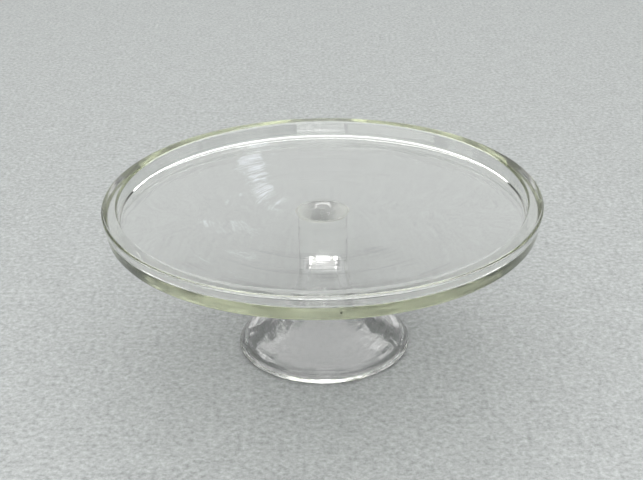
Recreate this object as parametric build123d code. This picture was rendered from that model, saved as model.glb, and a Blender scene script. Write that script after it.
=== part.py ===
from build123d import *
from math import atan2, pi, tan
import os

# Clear glass cake stand in two pressings: a raised-rim plate, and a pedestal whose stem is solid
# at the top and hollow from below. Millimetres, +Z up, origin at the centre of the resting ring.

# Driving dimensions
overall_height = 115.0
plate_diameter = 300.0
plate_depth = 17.2          # rim top down to the plate's underside
floor_thickness = 6.8
rim_width = 10.5            # across the rim's top face, edge to edge
rim_edge_radius = 2.0
rim_under_radius = 2.5
rim_taper = 3.2             # how far the outer wall leans in towards the underside
recess_fillet = 2.2         # where the recess wall meets the plate's floor
recess_draft = 0.4          # how far the recess wall leans in towards the floor
stem_diameter = 34.4
stem_collar = 1.5           # flare where the stem meets the plate
straight_stem_end = 58.0    # height where the outside starts to flare
flare_height = 36.0
flare_radius = 22.5
shoulder_diameter = 107.0
shoulder_height = 10.2
foot_diameter = 122.0
foot_bead_radius = 1.9
resting_ring_width = 2.5
hollow_diameter = 18.4      # upper end of the hollow inside the stem
hollow_dome_start = 57.0    # height where the hollow's domed crown begins
hollow_top = 66.0

# Heights and radii that follow from them
underside = overall_height - plate_depth
plate_floor = underside + floor_thickness
plate_radius = plate_diameter / 2
recess_radius = plate_radius - rim_width
rim_lean = atan2(rim_taper, plate_depth)
rim_corner = plate_radius + rim_edge_radius * (1 / tan(pi / 4 - rim_lean / 2) - 1)  # before rounding
stem_radius = stem_diameter / 2
shoulder_radius = shoulder_diameter / 2
foot_radius = foot_diameter / 2
hollow_radius = hollow_diameter / 2
bead_centre = foot_radius - foot_bead_radius
ring_inner_radius = bead_centre - resting_ring_width


def turned(outline):
    """Solid of revolution about +Z from a closed outline drawn as (radius, height)."""
    with BuildPart() as part:
        with BuildSketch(Plane.XZ):
            add(outline)
            make_face()
        revolve(axis=Axis.Z)
    return part.part


def plate():
    """Flat disc with a thick raised rim that leans out; every edge is fire-polished round."""
    corners = [
        (0, plate_floor, 0),
        (recess_radius - recess_draft, plate_floor, recess_fillet),
        (recess_radius, overall_height, rim_edge_radius),
        (rim_corner, overall_height, rim_edge_radius),
        (rim_corner - rim_taper, underside, rim_under_radius),
        (0, underside, 0),
    ]
    with BuildLine() as outline:
        side = FilletPolyline([(r, z) for r, z, _ in corners], radius=[rad for _, _, rad in corners[1:-1]])
        Line(side @ 1, side @ 0)
    return turned(outline.line)


def stem_side():
    """Outside of the pedestal, from the plate's underside down to the top of the foot bead."""
    collar_top = (stem_radius + stem_collar * 0.8, underside)
    collar_middle = (stem_radius + stem_collar * 0.25, underside - stem_collar * 0.6)
    collar_end = (stem_radius, underside - stem_collar * 1.6)
    stem_end = (stem_radius, straight_stem_end)
    flare = (flare_radius, flare_height)
    shoulder_start = (shoulder_radius - 2.6, shoulder_height + 1.2)
    shoulder_end = (shoulder_radius + 1.6, shoulder_height - 1.9)
    bead_top = (bead_centre, 2 * foot_bead_radius)

    Line((0, underside), collar_top)
    ThreePointArc(collar_top, collar_middle, collar_end)
    Line(collar_end, stem_end)
    Bezier(stem_end, (stem_radius, 48.0), (stem_radius + 0.5, 44.0), flare)
    Bezier(flare, (29.0, 25.6), (42.0, 14.6), shoulder_start)
    Bezier(shoulder_start, (52.8, 10.7), (54.2, 9.8), shoulder_end)
    Bezier(shoulder_end, (56.2, 6.3), (57.5, 4.6), bead_top)


def foot_edge():
    """Round bead that stands proud of the skirt, and the narrow ring that rests on the table."""
    ThreePointArc(
        (bead_centre, 2 * foot_bead_radius),
        (foot_radius, foot_bead_radius),
        (bead_centre, 0),
    )
    Line((bead_centre, 0), (ring_inner_radius, 0))


def hollow_side():
    """Inside of the bell foot and stem, from the resting ring up to the domed crown."""
    lip = (ring_inner_radius - 3.2, 3.2)
    bell = (27.0, 21.0)
    neck = (hollow_radius, hollow_dome_start)
    dome_height = hollow_top - hollow_dome_start
    dome_side = (hollow_radius, hollow_dome_start + 0.61 * dome_height)
    dome_crown = (0.55 * hollow_radius, hollow_top)

    Bezier((ring_inner_radius, 0), (ring_inner_radius - 1.6, 0), (lip[0] + 0.8, 2.0), lip)
    Bezier(lip, (50.2, 6.8), (38.0, 12.0), bell)
    Bezier(bell, (17.0, 29.2), (hollow_radius, 40.0), neck)
    Bezier(neck, dome_side, dome_crown, (0, hollow_top))


def pedestal():
    """Stem and bell foot in one: solid under the plate, hollow from the resting ring up."""
    with BuildLine() as outline:
        stem_side()
        foot_edge()
        hollow_side()
        Line((0, hollow_top), (0, underside))
    return turned(outline.line)


os.makedirs("parts", exist_ok=True)
export_step(plate(), "parts/plate.step")
export_step(pedestal(), "parts/pedestal.step")
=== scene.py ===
import math

import bpy
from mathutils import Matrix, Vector


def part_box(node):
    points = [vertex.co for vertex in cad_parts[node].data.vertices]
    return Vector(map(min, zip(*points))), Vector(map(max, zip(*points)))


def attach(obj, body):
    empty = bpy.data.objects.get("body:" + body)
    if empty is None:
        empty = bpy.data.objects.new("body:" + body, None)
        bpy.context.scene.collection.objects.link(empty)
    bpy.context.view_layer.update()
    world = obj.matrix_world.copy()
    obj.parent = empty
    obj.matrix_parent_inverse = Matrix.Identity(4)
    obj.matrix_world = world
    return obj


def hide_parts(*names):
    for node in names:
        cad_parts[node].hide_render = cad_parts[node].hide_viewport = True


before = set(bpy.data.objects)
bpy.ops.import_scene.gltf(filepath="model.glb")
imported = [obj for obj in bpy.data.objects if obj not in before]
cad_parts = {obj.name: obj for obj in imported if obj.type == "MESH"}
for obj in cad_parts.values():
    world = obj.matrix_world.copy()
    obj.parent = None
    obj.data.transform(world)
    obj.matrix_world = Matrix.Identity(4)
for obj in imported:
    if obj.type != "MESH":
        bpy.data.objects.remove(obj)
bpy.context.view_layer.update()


# ---- Plate ----------------------------------------------------------------------------------
# One heavy pressing of clear soda glass: a flat round floor inside a thick raised rim. The press
# leaves it faintly uneven, and the fire polish rounds every edge.

MM = 0.001
plate_low, plate_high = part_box("plate")
plate_radius = plate_high[0]
rim_top = plate_high[2]
underside = plate_low[2]
floor_top = underside + 6.8 * MM
rim_width = 10.5 * MM
rim_corner = plate_radius + 0.41 * MM    # before rounding, which brings it back to the plate's radius
foot_of_wall = rim_corner - 3.2 * MM     # the outer wall leans in towards the underside
rim_inner_edge = 2.0 * MM
rim_outer_edge = 2.41 * MM
rim_under_edge = 2.1 * MM
recess_fillet = 2.2 * MM
recess_radius = plate_radius - rim_width
floor_radius = recess_radius - 0.4 * MM  # draft that lets the plunger out
ring_spacing = 2.2 * MM
smallest_ring = 3 * MM
turns = 256
edge_steps = 8
weld = 0.002 * MM


def nothing_selected():
    if bpy.context.object and bpy.context.object.mode != "OBJECT":
        bpy.ops.object.mode_set(mode="OBJECT")
    bpy.ops.object.select_all(action="DESELECT")


def clear_selection(mesh):
    """Deselects every corner, edge and face of a mesh, in object mode."""
    bpy.ops.object.mode_set(mode="OBJECT")
    for part in (mesh.vertices, mesh.edges, mesh.polygons):
        part.foreach_set("select", [False] * len(part))


def select_faces(mesh, wanted):
    """Selects, in edit mode, the faces for which wanted(face) is true."""
    clear_selection(mesh)
    for face in mesh.polygons:
        face.select = wanted(face)
    bpy.ops.object.mode_set(mode="EDIT")
    bpy.ops.mesh.select_mode(type="FACE")


def select_ring(mesh, radius, height):
    """Selects, in edit mode, the ring of edges at this radius and height."""
    clear_selection(mesh)
    near = 0.02 * MM
    for edge in mesh.edges:
        ends = [mesh.vertices[i].co for i in edge.vertices]
        edge.select = all(
            abs(math.hypot(end.x, end.y) - radius) < near and abs(end.z - height) < near for end in ends
        )
    bpy.ops.object.mode_set(mode="EDIT")
    bpy.ops.mesh.select_mode(type="EDGE")


def weld_and_smooth():
    """Merges doubles, turns the faces outwards and ends in object mode, shaded smooth."""
    bpy.ops.mesh.select_all(action="SELECT")
    bpy.ops.mesh.remove_doubles(threshold=weld)
    bpy.ops.mesh.normals_make_consistent(inside=False)
    bpy.ops.object.mode_set(mode="OBJECT")
    bpy.ops.object.shade_smooth()


nothing_selected()
bpy.ops.mesh.primitive_cone_add(
    vertices=turns,
    radius1=foot_of_wall,
    radius2=rim_corner,
    depth=rim_top - underside,
    location=(0, 0, (rim_top + underside) / 2),
)
plate = bpy.context.object
plate.name = "plate_pressing"
bpy.ops.object.transform_apply(location=True)

select_faces(plate.data, lambda face: face.normal.z > 0.9)
bpy.ops.mesh.inset(thickness=rim_corner - recess_radius, depth=0)
bpy.ops.mesh.extrude_region_move(TRANSFORM_OT_translate={"value": (0, 0, floor_top - rim_top)})
bpy.ops.transform.resize(
    value=(floor_radius / recess_radius, floor_radius / recess_radius, 1), center_override=(0, 0, 0)
)

sharp_edges = (
    (recess_radius, rim_top, rim_inner_edge),
    (rim_corner, rim_top, rim_outer_edge),
    (foot_of_wall, underside, rim_under_edge),
    (floor_radius, floor_top, recess_fillet),
)
for radius, height, rounding in sharp_edges:
    select_ring(plate.data, radius, height)
    bpy.ops.mesh.bevel(offset=rounding, offset_type="OFFSET", segments=edge_steps, affect="EDGES")

flat_faces = ((floor_top, floor_radius - recess_fillet), (underside, foot_of_wall - rim_under_edge))
for height, radius in flat_faces:
    select_faces(
        plate.data, lambda face: len(face.vertices) == turns and abs(face.center.z - height) < 0.1 * MM
    )
    for _ in range(int((radius - smallest_ring) / ring_spacing)):
        bpy.ops.mesh.inset(thickness=ring_spacing, depth=0)
    bpy.ops.mesh.poke()
weld_and_smooth()


def press_wave(piece, texture, centre, spread, depth, direction="NORMAL"):
    """Moves a pressing's surface by a texture laid round a centre; depth is the whole swing."""
    holder = bpy.data.objects.new("wave_centre", None)
    bpy.context.scene.collection.objects.link(holder)
    holder.location = centre
    holder.scale = (spread, spread, spread)
    bpy.context.view_layer.objects.active = piece
    wave = piece.modifiers.new("wave", "DISPLACE")
    wave.texture = texture
    wave.texture_coords = "OBJECT"
    wave.texture_coords_object = holder
    wave.direction = direction
    wave.strength = depth
    wave.mid_level = 0.5
    bpy.context.view_layer.update()
    bpy.ops.object.modifier_apply(modifier=wave.name)
    bpy.data.objects.remove(holder)


def soft_unevenness(name, size):
    """A cloudy texture for the broad unevenness that chilled glass has."""
    texture = bpy.data.textures.new(name, "CLOUDS")
    texture.noise_scale = size
    texture.noise_depth = 1
    return texture


press_wave(plate, soft_unevenness("plate_unevenness", 45 * MM), (0.31, 0.217, 0.403), 1, 0.16 * MM)

ripple = bpy.data.textures.new("plate_ripple", "WOOD")
ripple.wood_type = "RINGNOISE"
ripple.noise_scale = 0.35
ripple.turbulence = 2.2
press_wave(plate, ripple, (0, 0, floor_top), 70 * MM, 0.09 * MM, direction="Z")


def join(tree, source, target):
    """Links a socket to an input, or sets the input where the source is a plain number."""
    if isinstance(source, (int, float)):
        target.default_value = source
    else:
        tree.links.new(source, target)


def calculate(tree, operation, first, second=0.0):
    """The result of a Math node on sockets or plain numbers."""
    node = tree.nodes.new("ShaderNodeMath")
    node.operation = operation
    join(tree, first, node.inputs[0])
    join(tree, second, node.inputs[1])
    return node.outputs[0]


def noise(tree, place, scale, detail, roughness=0.5):
    """The value of a Noise Texture read at a place."""
    node = tree.nodes.new("ShaderNodeTexNoise")
    node.inputs["Detail"].default_value = detail
    node.inputs["Roughness"].default_value = roughness
    join(tree, place, node.inputs["Vector"])
    join(tree, scale, node.inputs["Scale"])
    return node.outputs["Fac"]


def new_group(name, inputs, output):
    """A node group of plain values: its tree, its input sockets and its one output socket."""
    tree = bpy.data.node_groups.new(name, "ShaderNodeTree")
    for label, default in inputs:
        socket = tree.interface.new_socket(label, in_out="INPUT", socket_type="NodeSocketFloat")
        socket.default_value = default
    tree.interface.new_socket(output, in_out="OUTPUT", socket_type="NodeSocketFloat")
    given = tree.nodes.new("NodeGroupInput").outputs
    result = tree.nodes.new("NodeGroupOutput").inputs[output]
    return tree, given, result


def wrinkle_group():
    """Fine wrinkles that run round the axis, and a broad swell, as one height."""
    inputs = (("Ring pitch", 400.0), ("Ring depth", 0.5), ("Swell size", 30.0), ("Swell depth", 0.5))
    tree, given, height = new_group("Chill wrinkles", inputs, "Height")
    nodes, links = tree.nodes, tree.links
    place = nodes.new("ShaderNodeTexCoord").outputs["Object"]
    split = nodes.new("ShaderNodeSeparateXYZ")
    links.new(place, split.inputs[0])
    flat = nodes.new("ShaderNodeCombineXYZ")
    links.new(split.outputs["X"], flat.inputs["X"])
    links.new(split.outputs["Y"], flat.inputs["Y"])
    radius = nodes.new("ShaderNodeVectorMath")
    radius.operation = "LENGTH"
    links.new(flat.outputs[0], radius.inputs[0])
    angle = calculate(tree, "ARCTAN2", split.outputs["Y"], split.outputs["X"])
    wander = 0.004  # how far the wrinkles drift on their way round, in metres
    ring = nodes.new("ShaderNodeCombineXYZ")
    links.new(radius.outputs["Value"], ring.inputs["X"])
    links.new(split.outputs["Z"], ring.inputs["Y"])
    links.new(calculate(tree, "MULTIPLY", calculate(tree, "SINE", angle), wander), ring.inputs["Z"])
    fine = noise(tree, ring.outputs[0], given["Ring pitch"], 3.0, 0.45)
    broad = noise(tree, place, given["Swell size"], 1.0)
    fine_height = calculate(tree, "MULTIPLY", fine, given["Ring depth"])
    broad_height = calculate(tree, "MULTIPLY", broad, given["Swell depth"])
    links.new(calculate(tree, "ADD", fine_height, broad_height), height)
    return tree


def haze_group():
    """Faint patches where handling has dulled the polish, as a roughness."""
    tree, given, roughness = new_group("Handling haze", (("Patches", 117.0), ("Most", 0.015)), "Roughness")
    place = tree.nodes.new("ShaderNodeTexCoord").outputs["Object"]
    haze = tree.nodes.new("ShaderNodeMapRange")
    haze.inputs["From Min"].default_value = 0.45
    haze.inputs["From Max"].default_value = 0.8
    tree.links.new(noise(tree, place, given["Patches"], 6), haze.inputs["Value"])
    tree.links.new(given["Most"], haze.inputs["To Max"])
    tree.links.new(haze.outputs["Result"], roughness)
    return tree


wrinkles = wrinkle_group()
handling_haze = haze_group()


def clear_glass(name, tint, density, ring_pitch, ring_depth, swell_size, swell_depth):
    """Soda glass: clear at the surface, tinted by the length of glass that light crosses."""
    material = bpy.data.materials.new(name)
    material.use_nodes = True
    nodes, links = material.node_tree.nodes, material.node_tree.links
    shader = nodes["Principled BSDF"]
    shader.inputs["Base Color"].default_value = (1, 1, 1, 1)
    shader.inputs["IOR"].default_value = 1.52
    shader.inputs["Transmission Weight"].default_value = 1.0
    haze = nodes.new("ShaderNodeGroup")
    haze.node_tree = handling_haze
    links.new(haze.outputs["Roughness"], shader.inputs["Roughness"])
    inside = nodes.new("ShaderNodeVolumeAbsorption")
    inside.inputs["Color"].default_value = tint
    inside.inputs["Density"].default_value = density
    links.new(inside.outputs[0], nodes["Material Output"].inputs["Volume"])
    marks = nodes.new("ShaderNodeGroup")
    marks.node_tree = wrinkles
    marks.inputs["Ring pitch"].default_value = ring_pitch
    marks.inputs["Ring depth"].default_value = ring_depth
    marks.inputs["Swell size"].default_value = swell_size
    marks.inputs["Swell depth"].default_value = swell_depth
    relief = nodes.new("ShaderNodeBump")
    relief.inputs["Strength"].default_value = 1.0
    relief.inputs["Distance"].default_value = 0.4 * MM
    links.new(marks.outputs["Height"], relief.inputs["Height"])
    links.new(relief.outputs[0], shader.inputs["Normal"])
    return material


plate_glass = clear_glass("plate_glass", (0.54, 0.58, 0.39, 1), 6.5, 420, 0.12, 22, 1.0)
plate.data.materials.append(plate_glass)
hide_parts("plate")
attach(plate, "root")


# ---- Ash speck ------------------------------------------------------------------------------
# One dark crumb of furnace ash, a little over a millimetre across, that was caught in the plate's
# glass at the gather and lies just behind the front of the rim's wall.

speck_place = (9.6 * MM, -146.6 * MM, 103.5 * MM)

nothing_selected()
bpy.ops.mesh.primitive_ico_sphere_add(subdivisions=3, radius=0.8 * MM, location=speck_place)
speck = bpy.context.object
speck.name = "ash_speck"
speck.scale = (0.8, 0.7, 1.0)
bpy.ops.object.transform_apply(location=True, scale=True)
bpy.ops.object.shade_smooth()


def two_tone(tree, factor, dark, pale):
    """The colour from a ramp between two tones, each given as (position, colour)."""
    ramp = tree.nodes.new("ShaderNodeValToRGB")
    for element, (position, colour) in zip(ramp.color_ramp.elements, (dark, pale)):
        element.position = position
        element.color = colour
    tree.links.new(factor, ramp.inputs[0])
    return ramp.outputs[0]


ash = bpy.data.materials.new("ash")
ash.use_nodes = True
ash_shader = ash.node_tree.nodes["Principled BSDF"]
ash_place = ash.node_tree.nodes.new("ShaderNodeTexCoord").outputs["Object"]
crumbs = noise(ash.node_tree, ash_place, 2500, 2)
ash_tone = two_tone(ash.node_tree, crumbs, (0, (0.004, 0.004, 0.003, 1)), (1, (0.03, 0.028, 0.022, 1)))
ash.node_tree.links.new(ash_tone, ash_shader.inputs["Base Color"])
ash_shader.inputs["Roughness"].default_value = 0.9
speck.data.materials.append(ash)
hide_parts("plate")
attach(speck, "root")


# ---- Pedestal -------------------------------------------------------------------------------
# Stem and bell foot in one pressing, fused to the plate. The stem is solid at the top, and a
# plunger leaves the hollow that opens out under the foot. Its section is drawn in millimetres.

fuse = 0.05  # how far the stem runs into the plate, so that no air gap shows
joint_height = underside / MM
stem_top = joint_height + fuse
stem = 17.2
collar = stem + 1.2
collar_end = (stem, joint_height - 2.4)
straight_end = (stem, 58.0)
flare = (22.5, 36.0)
shoulder_start = (50.9, 11.4)
shoulder_end = (55.1, 8.3)
bead = 1.9
bead_centre = 59.1
bead_outside = bead_centre + bead
quarter = 0.5523 * bead  # handle length that makes a quarter of a circle
ring_inside = 56.6
lip = (53.4, 3.2)
bell = (27.0, 21.0)
hollow = 9.2
dome_start = (hollow, 57.0)
crown = 66.0

section = [
    [(0, stem_top), (collar, stem_top)],
    [(collar, stem_top), (stem + 0.7, joint_height - 0.3), (stem, joint_height - 1.2), collar_end],
    [collar_end, straight_end],
    [straight_end, (stem, 48.0), (stem + 0.5, 44.0), flare],
    [flare, (29.0, 25.6), (42.0, 14.6), shoulder_start],
    [shoulder_start, (52.8, 10.7), (54.2, 9.8), shoulder_end],
    [shoulder_end, (56.2, 6.3), (57.5, 4.6), (bead_centre, 2 * bead)],
    [(bead_centre, 2 * bead), (bead_centre + quarter, 2 * bead), (bead_outside, bead + quarter),
     (bead_outside, bead)],
    [(bead_outside, bead), (bead_outside, bead - quarter), (bead_centre + quarter, 0), (bead_centre, 0)],
    [(bead_centre, 0), (ring_inside, 0)],
    [(ring_inside, 0), (ring_inside - 1.6, 0), (lip[0] + 0.8, 2.0), lip],
    [lip, (50.2, 6.8), (38.0, 12.0), bell],
    [bell, (17.0, 29.2), (hollow, 40.0), dome_start],
    [dome_start, (hollow, 62.49), (0.55 * hollow, crown), (0, crown)],
]


def draw_and_turn(name, strokes):
    """Draws a section, stroke by stroke (2 points straight, 4 a Bezier), and spins it round Z."""
    nothing_selected()
    bpy.ops.curve.primitive_bezier_curve_add(location=(0, 0, 0))
    bpy.context.object.name = name
    spline = bpy.context.object.data.splines[0]
    spline.bezier_points.add(len(strokes) - 1)
    spline.resolution_u = 12
    knots = spline.bezier_points
    for knot in knots:
        knot.handle_left_type = knot.handle_right_type = "FREE"
    for i, stroke in enumerate(strokes):
        points = [Vector((r * MM, 0, z * MM)) for r, z in stroke]
        if len(points) == 2:
            start, end = points
            points = [start, start.lerp(end, 1 / 3), start.lerp(end, 2 / 3), end]
        knots[i].co, knots[i].handle_right = points[:2]
        knots[i + 1].handle_left, knots[i + 1].co = points[2:]
    knots[0].handle_left = knots[0].co
    knots[-1].handle_right = knots[-1].co
    bpy.ops.object.convert(target="MESH")
    bpy.ops.object.mode_set(mode="EDIT")
    bpy.ops.mesh.select_all(action="SELECT")
    bpy.ops.mesh.remove_doubles(threshold=weld)
    bpy.ops.mesh.spin(steps=turns, angle=2 * math.pi, center=(0, 0, 0), axis=(0, 0, 1))
    weld_and_smooth()
    return bpy.context.object


pedestal = draw_and_turn("pedestal_pressing", section)
press_wave(pedestal, soft_unevenness("pedestal_unevenness", 20 * MM), (0.77, 0.539, 1.001), 1, 0.12 * MM)
pedestal_glass = clear_glass("pedestal_glass", (0.84, 0.88, 0.80, 1), 2.5, 600, 0.40, 90, 1.5)
pedestal.data.materials.append(pedestal_glass)
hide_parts("pedestal")
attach(pedestal, "root")


# ---- Where it stands ------------------------------------------------------------------------
# A pale grey floor: a fine grain over a broader mottle.

nothing_selected()
bpy.ops.mesh.primitive_plane_add(size=8, location=(0, 0, -0.02 * MM))
ground = bpy.context.object
ground.name = "ground"
paving = bpy.data.materials.new("pale_floor")
paving.use_nodes = True
paving_shader = paving.node_tree.nodes["Principled BSDF"]
paving_place = paving.node_tree.nodes.new("ShaderNodeTexCoord").outputs["Object"]
grain = paving.node_tree.nodes.new("ShaderNodeMix")
grain.inputs["Factor"].default_value = 0.7
join(paving.node_tree, noise(paving.node_tree, paving_place, 45, 12, 0.88), grain.inputs["A"])
join(paving.node_tree, noise(paving.node_tree, paving_place, 260, 3, 0.8), grain.inputs["B"])
paving_tone = two_tone(
    paving.node_tree,
    grain.outputs["Result"],
    (0.36, (0.14, 0.148, 0.145, 1)),
    (0.66, (0.32, 0.336, 0.33, 1)),
)
paving.node_tree.links.new(paving_tone, paving_shader.inputs["Base Color"])
paving_shader.inputs["Roughness"].default_value = 0.45
ground.data.materials.append(paving)


# ---- Light ----------------------------------------------------------------------------------
# A room with a broad soft ceiling, windows in front, a door at each side and a pale wall behind.
# The rest of the walls are dark, so the glass shows its edges.

world = bpy.data.worlds.new("studio_walls")
bpy.context.scene.world = world
world.use_nodes = True
room = world.node_tree
split = room.nodes.new("ShaderNodeSeparateXYZ")
room.links.new(room.nodes.new("ShaderNodeTexCoord").outputs["Generated"], split.inputs[0])


def grey_ramp(factor, stops):
    """A ramp of greys from (position, brightness) stops."""
    ramp = room.nodes.new("ShaderNodeValToRGB")
    for position, _ in stops[2:]:
        ramp.color_ramp.elements.new(position)
    for element, (position, level) in zip(ramp.color_ramp.elements, stops):
        element.position = position
        element.color = (level, level, level, 1)
    room.links.new(factor, ramp.inputs[0])
    return ramp.outputs[0]


around = calculate(room, "ARCTAN2", split.outputs["X"], split.outputs["Y"])
turn = calculate(room, "ADD", calculate(room, "DIVIDE", around, 2 * math.pi), 0.5)
walls = grey_ramp(
    turn,
    [(0.0, 0.04), (0.41, 0.04), (0.44, 0.70), (0.55, 0.70), (0.585, 0.45), (0.60, 0.03), (1.0, 0.03)],
)
upper = grey_ramp(split.outputs["Z"], [(0.0, 1), (0.49, 1), (0.52, 0.1), (1.0, 0.1)])
shade = room.nodes.new("ShaderNodeMix")
shade.data_type = "RGBA"
shade.blend_type = "MULTIPLY"
shade.inputs["Factor"].default_value = 1.0
room.links.new(walls, shade.inputs[6])
room.links.new(upper, shade.inputs[7])
room.links.new(shade.outputs[2], room.nodes["Background"].inputs["Color"])


def soft_box(name, azimuth, elevation, distance, size, radiance, colour=(1, 1, 1)):
    """A lamp on a sphere round the object; azimuth 0 is behind it and 90 on the right."""
    lamp = bpy.data.lights.new(name, "AREA")
    lamp.shape = "RECTANGLE"
    lamp.size, lamp.size_y = size
    lamp.energy = radiance * math.pi * size[0] * size[1]
    lamp.color = colour
    holder = bpy.data.objects.new(name, lamp)
    bpy.context.scene.collection.objects.link(holder)
    turned, raised = math.radians(azimuth), math.radians(elevation)
    direction = Vector(
        (math.sin(turned) * math.cos(raised), math.cos(turned) * math.cos(raised), math.sin(raised))
    )
    holder.location = direction * distance
    holder.rotation_euler = (-direction).to_track_quat("-Z", "Y").to_euler()


soft_box("overhead", 0, 90, 2.6, (5.6, 5.6), 2.9)
soft_box("ceiling_behind", 0, 51, 3.0, (4.6, 0.95), 2.8)
soft_box("window_front", 180, 15, 3.0, (1.5, 0.55), 7.0)
soft_box("window_high", 180, 36, 3.0, (1.4, 0.62), 3.0)
soft_box("window_right", 135, 25, 3.0, (1.5, 1.5), 1.3)
soft_box("window_low", 222, 6, 3.0, (2.9, 0.6), 2.8)
soft_box("door_left", -90, 15, 3.0, (1.0, 0.55), 2.9)
soft_box("door_right", 90, 15, 3.0, (1.2, 0.55), 1.2)
soft_box("blue_pane", -4, 24, 3.0, (0.06, 0.10), 1.5, (0.8, 0.88, 1.0))


# ---- Camera ---------------------------------------------------------------------------------
# A long lens a little above the plate, held very slightly out of level.

light_bounces = 48

lens = bpy.data.cameras.new("camera")
lens.sensor_width = 36
lens.lens = 70.9
camera = bpy.data.objects.new("camera", lens)
bpy.context.scene.collection.objects.link(camera)
camera.location = (-0.0027, -0.795, 0.4632)
camera.rotation_euler = (math.radians(64.248), math.radians(0.831), math.radians(-0.527))
bpy.context.scene.camera = camera
light_paths = bpy.context.scene.cycles
light_paths.max_bounces = light_bounces
light_paths.transmission_bounces = light_bounces
light_paths.glossy_bounces = light_bounces
bpy.context.scene.view_settings.view_transform = "Standard"
